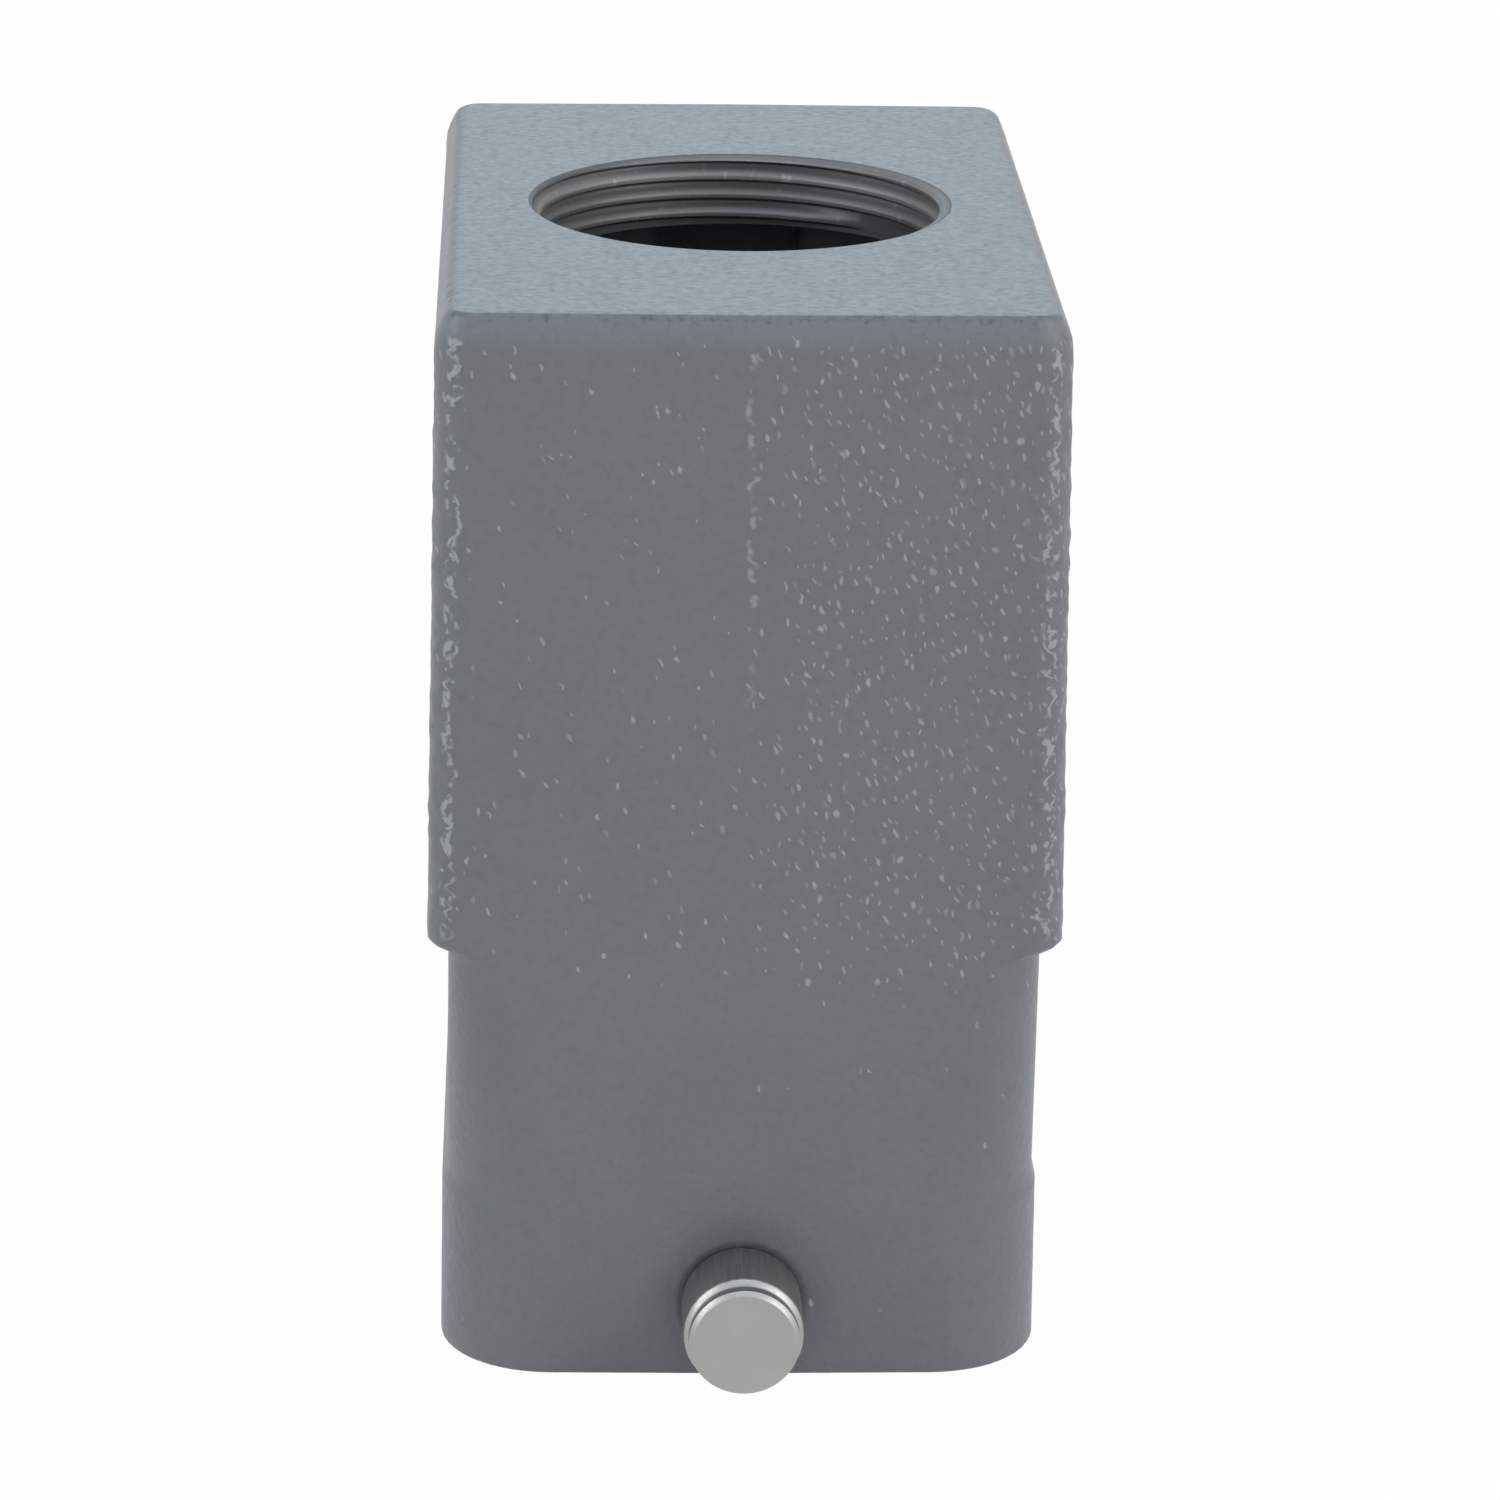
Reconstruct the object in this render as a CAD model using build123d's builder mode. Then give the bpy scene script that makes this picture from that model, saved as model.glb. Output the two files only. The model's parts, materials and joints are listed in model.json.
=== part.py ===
"""A rectangular industrial connector: a die-cast top-entry hood for single-lever locking, with
its ten-pole screw-terminal contact insert inside.

Millimetres. The origin is the centre of the open rim that the hood stands on. +Z is up, to the
threaded cable entry. The length runs along Y, and a locking peg stands out of each end.
"""
from build123d import *
import os
from math import cos, radians, sin

# Hood: overall sizes
rim_length = 73.0
rim_width = 45.3
height = 82.2

# Hood: how far each end and side stands in or out of the rim, further up
end_draft = 0.2
band_draft = 0.1
waist_low_inset = 0.4
waist_inset = 0.65
shoulder_overhang = 0.9
top_overhang = 0.3

# Hood: levels and corners of the outside
band_height = 13.0
band_slope = 0.7
waist_top = 33.0
ledge_rise = 1.2
ledge_round = 0.4
rim_corner = 8.4
waist_corner = 4.0
top_corner = 0.2
parting_rise = 0.3
top_round = 2.6
top_round_steps = 4
rim_round = 0.4

# Hood: walls, cavity and the pillars that the insert is screwed to
side_wall = 3.65
end_wall = 3.7
roof = 5.6
mouth_corner = 4.6
mouth_chamfer = 0.5
seat_level = 22.0
chamber_step = 0.6
channel_width = 11.6
pillar_depth = 8.2
pillar_round = 1.5

# Cable entry, M32 x 1.5, bored to the root of its thread
entry_radius = 16.0
entry_chamfer = 0.3

# Fixing screws, M4, set in from the edges of the insert's flange
fixing_edge = 3.5
fixing_radius = 2.0
fixing_grip = 8.0
fixing_hole_spare = 2.0
fixing_head_radius = 3.4
fixing_head_height = 2.6
slot_width = 1.0
slot_depth = 1.0
thread_clearance = 0.05
hole_clearance = 0.25

# Locking pegs: a headed pin in each end wall, and the roller that turns on it
peg_level = 6.0
peg_reach = 7.9
pin_clearance = 0.02
journal_radius = 3.0
head_radius = 4.15
head_thickness = 1.2
head_chamfer = 0.35
roller_radius = 4.5
roller_clearance = 0.05
roller_wall_gap = 0.2
roller_head_gap = 0.15
roller_chamfer = 0.45

# Insert: flange, shroud round the pins, and the terminal block on the wiring side
flange_side_gap = 2.0
flange_end_gap = 0.8
flange_thickness = 4.0
flange_corner = 2.5
shroud_side_step = 3.5
shroud_end_step = 10.0
shroud_corner = 3.0
shroud_wall = 1.8
shroud_recess = 1.0
pin_floor = 14.0
block_step = 1.0
block_height = 14.5
block_chamfer = 0.8

# Contacts: two rows, a pin on the mating side and a screw clamp on the wiring side
pole_pitch = 8.0
pole_edge = 4.9
row_edge = 5.5
pin_radius = 1.25
pin_recess = 1.6
pin_root_size = 2.9
clamp_width = 5.4
clamp_depth = 6.0
clamp_height = 9.0
clamp_lift = 1.0
clamp_chamfer = 0.3
wire_width = 3.4
wire_room = 3.2
wire_shift = 0.6
wire_depth = 7.2
pocket_clearance = 0.15
root_clearance = 0.05
tapped_hole_sides = 8

# Terminal screws, M3 set screws, and the leaf that each one presses on the wire
terminal_level = 5.2
terminal_radius = 1.5
terminal_proud = 0.6
terminal_slot_width = 0.7
terminal_slot_depth = 0.8
window_size = 5.0
guard_thickness = 0.4
guard_width = 3.0
guard_length = 6.4
guard_lip = 1.0
guard_gap = 0.05

# Earth plates: bent sheet at each end of the insert, with a screw terminal each
sheet = 1.0
earth_block_gap = 2.4
earth_side_step = 0.5
strip_width = 8.4
bend_radius = 0.4
tongue_step = 3.6
tongue_drop = 12.0
tongue_clearance = 0.1
upstand_height = 12.5
strip_chamfer = 1.5
earth_screw_level = 7.6
earth_screw_radius = 2.0
earth_head_radius = 3.6
earth_head_height = 2.4
earth_washer_size = 8.2
earth_washer_thickness = 1.4
earth_washer_edge = 0.4
earth_wire_gap = 1.2
earth_screw_tail = 0.8

# Sizes that follow from those above
top_length = rim_length - 2 * end_draft
band_top_width = rim_width - 2 * band_draft
waist_low_width = rim_width - 2 * waist_low_inset
waist_width = rim_width - 2 * waist_inset
shoulder_width = rim_width + 2 * shoulder_overhang
top_width = rim_width + 2 * top_overhang
upper_corner = top_round + top_corner
chamber_top = height - roof
cavity_width = rim_width - 2 * side_wall
cavity_length = rim_length - 2 * end_wall
ledge_top = waist_top + ledge_rise
flange_width = cavity_width - 2 * flange_side_gap
flange_length = cavity_length - 2 * flange_end_gap
flange_top = seat_level - sheet
flange_bottom = flange_top - flange_thickness
fixing_span_x = flange_width - 2 * fixing_edge
fixing_span_y = flange_length - 2 * fixing_edge
shroud_width = flange_width - 2 * shroud_side_step
shroud_length = flange_length - 2 * shroud_end_step
shroud_height = flange_bottom - shroud_recess
block_width = shroud_width - 2 * block_step
block_length = shroud_length - 2 * block_step
block_top = flange_top + block_height
poles_per_row = 1 + int((block_length - 2 * pole_edge) / pole_pitch)
row_offset = block_width / 2 - row_edge
clamp_bottom = flange_top + clamp_lift
clamp_top = clamp_bottom + clamp_height
pin_tip = shroud_recess + pin_recess
terminal_axis = clamp_bottom + terminal_level
clamp_face = row_offset + clamp_depth / 2
guard_face = row_offset - wire_shift + wire_room / 2 - guard_gap
terminal_end = clamp_face + terminal_proud
earth_inner_edge = block_length / 2 + earth_block_gap
earth_outer_edge = flange_length / 2
earth_width = flange_width - 2 * earth_side_step
tongue_position = earth_inner_edge + tongue_step
earth_axis = seat_level + earth_screw_level
earth_washer_face = earth_inner_edge + sheet + earth_wire_gap
earth_head_seat = earth_washer_face + earth_washer_thickness
peg_wall = (rim_length + (top_length - rim_length) * peg_level / height) / 2
peg_end = peg_wall + peg_reach
roller_start = peg_wall + roller_wall_gap
roller_end = peg_end - head_thickness - roller_head_gap


def shell_section(width, corner, level, inset=0.0):
    """The hood's outline at one height: flat sides, and ends that rise to the parting line."""
    length = rim_length + (top_length - rim_length) * level / height
    half_width = width / 2 - inset
    half_length = length / 2 - inset
    side_end = half_length - parting_rise
    with BuildSketch(Plane.XY.offset(level)) as outline:
        with BuildLine():
            Polyline(
                (half_width, -side_end),
                (half_width, side_end),
                (0, half_length),
                (-half_width, side_end),
                (-half_width, -side_end),
                (0, -half_length),
                close=True,
            )
        make_face()
        corners = outline.vertices().filter_by(lambda v: abs(v.X) > half_width / 2)
        fillet(corners, corner - inset)
    return outline.sketch.face()


def fixing_locations():
    """The four fixing screws' places."""
    return GridLocations(fixing_span_x, fixing_span_y, 2, 2)


# Hood: one casting, lofted from section to section, then cored from below and from the top
shell_sections = [
    shell_section(rim_width, rim_corner, 0, rim_round),
    shell_section(rim_width, rim_corner, rim_round),
    shell_section(band_top_width, rim_corner, band_height),
    shell_section(waist_low_width, rim_corner, band_height + band_slope),
    shell_section(waist_width, waist_corner, waist_top),
    shell_section(shoulder_width - 2 * ledge_round, upper_corner, ledge_top - ledge_round),
    shell_section(shoulder_width, upper_corner, ledge_top),
]
for step in range(top_round_steps + 1):
    turn = radians(90 * step / top_round_steps)
    level = height - top_round * (1 - sin(turn))
    inset = top_round * (1 - cos(turn))
    shell_sections.append(shell_section(top_width, upper_corner, level, inset))

with BuildPart() as hood:
    loft(sections=shell_sections, ruled=True)
    # Mouth that takes the insert
    with BuildSketch(Plane.XY):
        RectangleRounded(cavity_width, cavity_length, mouth_corner)
    extrude(amount=seat_level, mode=Mode.SUBTRACT)
    chamfer(hood.faces().sort_by(Axis.Z)[0].inner_wires()[0].edges(), mouth_chamfer)
    # Wiring chamber, with a pillar left in each corner from the seat up to the roof
    with BuildSketch(Plane.XY.offset(seat_level)) as chamber:
        Rectangle(cavity_width - 2 * chamber_step, cavity_length - 2 * pillar_depth)
        Rectangle(channel_width, cavity_length - 2 * chamber_step)
        pillar_corners = chamber.vertices().sort_by_distance((0, 0, seat_level))[:4]
        fillet(pillar_corners, pillar_round)
    extrude(amount=chamber_top - seat_level, mode=Mode.SUBTRACT)
    # Tapped holes in the pillars
    with BuildSketch(Plane.XY.offset(seat_level)):
        with fixing_locations():
            Circle(fixing_radius + thread_clearance)
    extrude(amount=fixing_grip + fixing_hole_spare, mode=Mode.SUBTRACT)
    # Cable entry through the roof
    with BuildSketch(Plane.XY.offset(height)):
        Circle(entry_radius)
    extrude(amount=-roof, mode=Mode.SUBTRACT)
    chamfer(hood.faces().sort_by(Axis.Z)[-1].inner_wires()[0].edges(), entry_chamfer)
    # Peg holes through both end walls
    with BuildSketch(Plane.XZ):
        with Locations((0, peg_level)):
            Circle(journal_radius + pin_clearance)
    extrude(amount=rim_length, both=True, mode=Mode.SUBTRACT)


# Front locking peg: a pin through the end wall, with a chamfered head
with BuildPart() as peg_front:
    with BuildSketch(Plane.XY.offset(peg_level)):
        with BuildLine():
            Polyline(
                (0, -cavity_length / 2),
                (journal_radius, -cavity_length / 2),
                (journal_radius, -peg_end + head_thickness),
                (head_radius, -peg_end + head_thickness),
                (head_radius, -peg_end + head_chamfer),
                (head_radius - head_chamfer, -peg_end),
                (0, -peg_end),
                close=True,
            )
        make_face()
    revolve(axis=Axis((0, 0, peg_level), (0, 1, 0)))

# Front roller: a plain sleeve, bevelled at its outer end
with BuildPart() as roller_front:
    with BuildSketch(Plane.XY.offset(peg_level)) as sleeve:
        with Locations((roller_radius, -roller_start)):
            Rectangle(
                roller_radius - journal_radius - roller_clearance,
                roller_end - roller_start,
                align=(Align.MAX, Align.MAX),
            )
        chamfer(sleeve.vertices().group_by(Axis.X)[-1].sort_by(Axis.Y)[0], roller_chamfer)
    revolve(axis=Axis((0, 0, peg_level), (0, 1, 0)))

# Rear peg and roller
with BuildPart() as peg_rear:
    add(peg_front.part.rotate(Axis.Z, 180))
with BuildPart() as roller_rear:
    add(roller_front.part.rotate(Axis.Z, 180))


def pole_locations():
    """The contacts' places in plan."""
    return GridLocations(2 * row_offset, pole_pitch, 2, poles_per_row)


# Insert body: one moulding that holds the contacts, the guards and the earth plates
with BuildPart() as insert_body:
    with BuildSketch(Plane.XY.offset(flange_bottom)):
        RectangleRounded(flange_width, flange_length, flange_corner)
    extrude(amount=flange_thickness)
    with BuildSketch(Plane.XY.offset(shroud_recess)):
        RectangleRounded(shroud_width, shroud_length, shroud_corner)
    extrude(amount=shroud_height)
    with BuildSketch(Plane.XY.offset(flange_top)):
        Rectangle(block_width, block_length)
    extrude(amount=block_height)
    chamfer(insert_body.faces().sort_by(Axis.Z)[-1].edges(), block_chamfer)
    # Recess round the pins
    with BuildSketch(Plane.XY.offset(shroud_recess)):
        RectangleRounded(
            shroud_width - 2 * shroud_wall,
            shroud_length - 2 * shroud_wall,
            shroud_corner - shroud_wall,
        )
    extrude(amount=pin_floor - shroud_recess, mode=Mode.SUBTRACT)
    # Pockets for the clamps, and the square holes for the roots of the pins
    with BuildSketch(Plane.XY.offset(clamp_bottom)):
        with pole_locations():
            Rectangle(clamp_depth + 2 * pocket_clearance, clamp_width + 2 * pocket_clearance)
    extrude(amount=block_top - clamp_bottom, mode=Mode.SUBTRACT)
    with BuildSketch(Plane.XY.offset(pin_floor)):
        with pole_locations():
            Rectangle(pin_root_size + 2 * root_clearance, pin_root_size + 2 * root_clearance)
    extrude(amount=clamp_bottom - pin_floor, mode=Mode.SUBTRACT)
    # Driver access to the terminal screws through the long sides
    for outward in (1, -1):
        with BuildSketch(Plane.YZ.offset(outward * row_offset)):
            with Locations((0, terminal_axis)):
                with GridLocations(pole_pitch, 1, poles_per_row, 1):
                    Rectangle(window_size, window_size)
        extrude(amount=outward * (block_width / 2 - row_offset), mode=Mode.SUBTRACT)
    # Fixing screw holes and the slots for the earth tongues
    with BuildSketch(Plane.XY.offset(flange_bottom)):
        with fixing_locations():
            Circle(fixing_radius + hole_clearance)
        with GridLocations(1, 2 * tongue_position + sheet, 1, 2):
            Rectangle(
                strip_width + 2 * tongue_clearance,
                sheet + 2 * (bend_radius + tongue_clearance),
            )
    extrude(amount=flange_thickness, mode=Mode.SUBTRACT)


def build_contact(outward, y):
    """A contact of one piece: clamp block with its wire opening, square root and round pin."""
    x = outward * row_offset
    with BuildPart() as contact:
        with BuildSketch(Plane.XY.offset(clamp_bottom)):
            with Locations((x, y)):
                Rectangle(clamp_depth, clamp_width)
        extrude(amount=clamp_height)
        chamfer(contact.faces().sort_by(Axis.Z)[-1].edges(), clamp_chamfer)
        with BuildSketch(Plane.XY.offset(clamp_bottom)):
            with Locations((x, y)):
                Rectangle(pin_root_size, pin_root_size)
        extrude(amount=pin_floor - clamp_bottom)
        with BuildSketch(Plane.XY.offset(pin_floor)):
            with Locations((x, y)):
                Circle(pin_radius)
        extrude(amount=pin_tip - pin_floor)
        with BuildSketch(Plane.XY.offset(clamp_top)):
            with Locations((x - outward * wire_shift, y)):
                Rectangle(wire_room, wire_width)
        extrude(amount=-wire_depth, mode=Mode.SUBTRACT)
        with BuildSketch(Plane.YZ.offset(x)):
            with Locations((y, terminal_axis)):
                RegularPolygon(
                    terminal_radius + thread_clearance,
                    tapped_hole_sides,
                    major_radius=False,
                )
        extrude(amount=outward * clamp_depth / 2, mode=Mode.SUBTRACT)
    return contact


def build_guard(outward, y):
    """A bent leaf that hangs in the wire opening, between the screw's tip and the wire."""
    leaf_x = outward * (guard_face - guard_thickness / 2)
    lip_level = clamp_top + guard_thickness / 2
    with BuildPart() as guard:
        with BuildSketch(Plane.XZ.offset(-y)):
            with BuildLine() as fold:
                Polyline(
                    (leaf_x, clamp_top - guard_length),
                    (leaf_x, lip_level),
                    (leaf_x + outward * guard_lip, lip_level),
                )
            trace(fold.line, guard_thickness)
        extrude(amount=guard_width / 2, both=True)
    return guard


def slotted_screw(head_radius, head_height, shank_radius, shank_length):
    """A slotted cheese-head screw: its head stands on the origin, and its shank hangs below."""
    with BuildPart() as screw:
        Cylinder(head_radius, head_height, align=(Align.CENTER, Align.CENTER, Align.MIN))
        Cylinder(shank_radius, shank_length, align=(Align.CENTER, Align.CENTER, Align.MAX))
        with Locations((0, 0, head_height)):
            Box(
                2 * head_radius,
                slot_width,
                slot_depth,
                align=(Align.CENTER, Align.CENTER, Align.MAX),
                mode=Mode.SUBTRACT,
            )
    return screw.part


# The ten contacts and their guards, numbered along the +X row and then along the -X row
contacts = []
guards = []
for outward in (1, -1):
    for place in range(poles_per_row):
        y = (place - (poles_per_row - 1) / 2) * pole_pitch
        contacts.append(build_contact(outward, y))
        guards.append(build_guard(outward, y))

# Terminal screws, one in the outer face of each contact, as far in as the guard
with BuildPart() as terminal_screws:
    for outward in (1, -1):
        with BuildSketch(Plane.YZ.offset(outward * guard_face)):
            with Locations((0, terminal_axis)):
                with GridLocations(pole_pitch, 1, poles_per_row, 1):
                    Circle(terminal_radius)
        extrude(amount=outward * (terminal_end - guard_face))
        with BuildSketch(Plane.YZ.offset(outward * terminal_end)):
            with Locations((0, terminal_axis)):
                with GridLocations(pole_pitch, 1, poles_per_row, 1):
                    Rectangle(2 * terminal_radius, terminal_slot_width)
        extrude(amount=-outward * terminal_slot_depth, mode=Mode.SUBTRACT)

# Earth plate of the rear end: a strip bent into tongue and upstand, between two flat wings
with BuildPart() as earth_plate_rear:
    with BuildSketch(Plane.YZ):
        with BuildLine() as fold:
            FilletPolyline(
                (tongue_position + sheet / 2, seat_level - tongue_drop),
                (tongue_position + sheet / 2, seat_level - sheet / 2),
                (earth_inner_edge + sheet / 2, seat_level - sheet / 2),
                (earth_inner_edge + sheet / 2, seat_level + upstand_height),
                radius=bend_radius + sheet / 2,
            )
        trace(fold.line, sheet)
    extrude(amount=strip_width / 2, both=True)
    strip_ends = earth_plate_rear.edges().filter_by(Axis.Y)
    chamfer(strip_ends.group_by(Axis.Z)[0] + strip_ends.group_by(Axis.Z)[-1], strip_chamfer)
    with BuildSketch(Plane.XY.offset(flange_top)):
        with Locations((0, (earth_inner_edge + earth_outer_edge) / 2)):
            Rectangle(earth_width, earth_outer_edge - earth_inner_edge)
            Rectangle(strip_width, earth_outer_edge - earth_inner_edge, mode=Mode.SUBTRACT)
        # The wings are forked round the fixing screws
        with fixing_locations():
            Circle(fixing_radius + hole_clearance, mode=Mode.SUBTRACT)
            Rectangle(
                2 * (fixing_radius + hole_clearance),
                fixing_edge,
                align=(Align.CENTER, Align.MIN),
                mode=Mode.SUBTRACT,
            )
    extrude(amount=sheet)
    with BuildSketch(Plane.XZ.offset(-earth_inner_edge)):
        with Locations((0, earth_axis)):
            Circle(earth_screw_radius + thread_clearance)
    extrude(amount=-sheet, mode=Mode.SUBTRACT)

# Square washer that clamps the earth wire against the upstand
with BuildPart() as earth_washer_rear:
    with BuildSketch(Plane.XZ.offset(-earth_washer_face)):
        with Locations((0, earth_axis)):
            Rectangle(earth_washer_size, earth_washer_size)
            Circle(earth_screw_radius + hole_clearance, mode=Mode.SUBTRACT)
    extrude(amount=-earth_washer_thickness)
    outer_face = earth_washer_rear.faces().sort_by(Axis.Y)[-1]
    chamfer(outer_face.outer_wire().edges(), earth_washer_edge)

# Front earth plate and washer
with BuildPart() as earth_plate_front:
    add(earth_plate_rear.part.rotate(Axis.Z, 180))
with BuildPart() as earth_washer_front:
    add(earth_washer_rear.part.rotate(Axis.Z, 180))

# Earth screws, one at each end
earth_screw = slotted_screw(
    earth_head_radius,
    earth_head_height,
    earth_screw_radius,
    earth_head_seat - earth_inner_edge + earth_screw_tail,
)
with BuildPart() as earth_screws:
    for outward in (1, -1):
        head_seat = outward * earth_head_seat
        with Locations(Plane((0, head_seat, earth_axis), (1, 0, 0), (0, outward, 0))):
            add(earth_screw)

# Fixing screws, from the mating side up into the hood's pillars
fixing_screw = slotted_screw(
    fixing_head_radius,
    fixing_head_height,
    fixing_radius,
    flange_thickness + sheet + fixing_grip,
)
with BuildPart() as fixing_screws:
    with Locations(Plane((0, 0, flange_bottom), (1, 0, 0), (0, 0, -1))):
        with fixing_locations():
            add(fixing_screw)

# Name each piece and write one STEP file for it
pieces = {
    "hood": hood,
    "peg_front": peg_front,
    "peg_rear": peg_rear,
    "roller_front": roller_front,
    "roller_rear": roller_rear,
    "insert_body": insert_body,
    "terminal_screws": terminal_screws,
    "earth_plate_front": earth_plate_front,
    "earth_plate_rear": earth_plate_rear,
    "earth_washer_front": earth_washer_front,
    "earth_washer_rear": earth_washer_rear,
    "earth_screws": earth_screws,
    "fixing_screws": fixing_screws,
}
for number, (contact, guard) in enumerate(zip(contacts, guards), start=1):
    pieces[f"contact_{number:02d}"] = contact
    pieces[f"wire_guard_{number:02d}"] = guard

os.makedirs("parts", exist_ok=True)
for name, piece in pieces.items():
    piece.part.label = name
    export_step(piece.part, f"parts/{name}.step")
    print(name, len(piece.part.solids()), round(piece.part.volume, 2), piece.part.is_valid)
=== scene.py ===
import json
from math import atan2, ceil, cos, pi, radians, sin, sqrt, tan

import bpy
import numpy as np
from mathutils import Matrix, Vector, noise


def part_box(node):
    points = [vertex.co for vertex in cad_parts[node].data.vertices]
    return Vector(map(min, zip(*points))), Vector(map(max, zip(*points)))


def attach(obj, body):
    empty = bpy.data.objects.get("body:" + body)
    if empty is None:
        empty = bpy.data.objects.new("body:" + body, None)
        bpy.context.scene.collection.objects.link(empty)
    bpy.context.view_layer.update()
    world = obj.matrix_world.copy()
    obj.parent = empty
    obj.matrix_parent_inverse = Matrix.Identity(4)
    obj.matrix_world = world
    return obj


# Looks of a rectangular industrial connector: the hammered powder coat on its die-cast hood, the
# thread in its cable entry, its steel locking pegs, and the contact insert inside. Lengths are in
# millimetres, and MM turns them into Blender's metres. Only the floor's size and the lamps' places
# and sizes are in metres. Colours are linear.
MM = 0.001
BODY = "hood_and_insert"

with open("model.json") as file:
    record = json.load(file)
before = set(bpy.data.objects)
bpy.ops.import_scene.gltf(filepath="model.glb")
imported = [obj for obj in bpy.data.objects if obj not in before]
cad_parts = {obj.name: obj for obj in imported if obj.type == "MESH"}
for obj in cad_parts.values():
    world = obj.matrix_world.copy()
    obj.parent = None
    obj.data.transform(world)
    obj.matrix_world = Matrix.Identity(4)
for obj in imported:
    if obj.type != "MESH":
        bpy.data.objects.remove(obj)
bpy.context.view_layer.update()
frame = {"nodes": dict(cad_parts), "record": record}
scene = bpy.context.scene


def in_mm(node):
    """A node's lowest and highest corners, in millimetres."""
    low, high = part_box(node)
    return low / MM, high / MM


# The casting's height above its rim, and the level where its upper body starts, on the ledge
_, hood_high = in_mm("hood")
HEIGHT = hood_high.z
LEDGE = 34.0

# Names of the map and the point values that the meshes hand to the materials
AROUND_MAP = "around"
EDGE_MARK = "edge"
PAINTED_LIGHT_MARK = "painted_light"

# Camera, fitted to the photo: its place, its turns in radians, and its lens and sensor
CAMERA_PLACE = (-16.259, -459.618, 189.929)
CAMERA_YAW = 0.03844
CAMERA_PITCH = 0.31966
CAMERA_ROLL = 0.01556
CAMERA_LENS = 146.557
SENSOR = 36.0


def build_camera():
    """The camera: it looks along +Y, turned a little to the right, down, and rolled."""
    forward = Vector((
        sin(CAMERA_YAW) * cos(CAMERA_PITCH),
        cos(CAMERA_YAW) * cos(CAMERA_PITCH),
        -sin(CAMERA_PITCH),
    ))
    level_right = Vector((cos(CAMERA_YAW), -sin(CAMERA_YAW), 0))
    level_up = level_right.cross(forward)
    right = cos(CAMERA_ROLL) * level_right + sin(CAMERA_ROLL) * level_up
    up = -sin(CAMERA_ROLL) * level_right + cos(CAMERA_ROLL) * level_up
    data = bpy.data.cameras.new("camera")
    data.sensor_width = SENSOR
    data.lens = CAMERA_LENS
    camera = bpy.data.objects.new("camera", data)
    turn = Matrix((right, up, -forward)).transposed().to_4x4()
    camera.matrix_world = Matrix.Translation(Vector(CAMERA_PLACE) * MM) @ turn
    scene.collection.objects.link(camera)
    scene.camera = camera


build_camera()


# Materials


class Shade:
    """A node material around one Principled shader."""

    def __init__(self, name):
        self.material = bpy.data.materials.new(name)
        self.material.use_nodes = True
        self.tree = self.material.node_tree
        self.shader = self.tree.nodes["Principled BSDF"]
        place = self.add("ShaderNodeTexCoord").outputs["Object"]
        self.place = self.scaled(place, (1 / MM, 1 / MM, 1 / MM))

    def add(self, kind, inputs=(), **settings):
        """A new node. An input is a number, a colour or another node's output."""
        node = self.tree.nodes.new(kind)
        for key, value in settings.items():
            setattr(node, key, value)
        for key, value in dict(inputs).items():
            self.put(node.inputs[key], value)
        return node

    def put(self, socket, value):
        """Links another node's output to the socket, or else sets the socket's value."""
        if isinstance(value, bpy.types.NodeSocket):
            self.tree.links.new(value, socket)
        else:
            socket.default_value = value

    def scaled(self, vector, factors):
        """The vector with each of its axes multiplied by a factor."""
        return self.add("ShaderNodeMapping", {"Vector": vector, "Scale": factors}).outputs["Vector"]

    def math(self, operation, first, second=0.0):
        node = self.add("ShaderNodeMath", operation=operation)
        self.put(node.inputs[0], first)
        self.put(node.inputs[1], second)
        return node.outputs[0]

    def ramp(self, value, start, end, low=0.0, high=1.0):
        """Runs smoothly from low to high as the value goes from start to end."""
        node = self.add("ShaderNodeMapRange", interpolation_type="SMOOTHSTEP", inputs={
            "Value": value, "From Min": start, "From Max": end, "To Min": low, "To Max": high,
        })
        return node.outputs["Result"]

    def noise(self, vector, scale, detail=2.0):
        node = self.add("ShaderNodeTexNoise", {"Vector": vector, "Scale": scale, "Detail": detail})
        return node.outputs["Fac"]

    def cells(self, vector, scale, dimensions="3D"):
        """A Voronoi pattern: the distance to the nearest cell's point, and three random values."""
        inputs = {"Vector": vector, "Scale": scale}
        node = self.add("ShaderNodeTexVoronoi", inputs, voronoi_dimensions=dimensions)
        values = self.add("ShaderNodeSeparateColor", {"Color": node.outputs["Color"]}).outputs
        return node.outputs["Distance"], values["Red"], values["Green"], values["Blue"]

    def product(self, first, *others):
        for other in others:
            first = self.math("MULTIPLY", first, other)
        return first

    def line(self, value, middle, half_width, soft):
        """1 near the middle value, and 0 from half_width + soft away."""
        away = self.math("ABSOLUTE", self.math("SUBTRACT", value, middle))
        return self.ramp(away, half_width, half_width + soft, 1.0, 0.0)

    def attribute(self, name):
        return self.add("ShaderNodeAttribute", attribute_name=name).outputs["Fac"]

    def mix(self, share, first, second):
        node = self.add("ShaderNodeMixRGB", {"Fac": share, "Color1": first, "Color2": second})
        return node.outputs["Color"]

    def axes(self, vector):
        node = self.add("ShaderNodeSeparateXYZ", {"Vector": vector})
        return node.outputs["X"], node.outputs["Y"], node.outputs["Z"]

    def bump(self, height, size, under=None):
        """A bump whose height of 1 stands for size millimetres."""
        node = self.add("ShaderNodeBump", {"Height": height, "Distance": size * MM})
        if under is not None:
            self.put(node.inputs["Normal"], under)
        return node.outputs["Normal"]

    def finish(self, **inputs):
        """Sets the shader's inputs, with underscores for spaces in their names."""
        for key, value in inputs.items():
            self.put(self.shader.inputs[key.replace("_", " ")], value)
        return self.material
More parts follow.
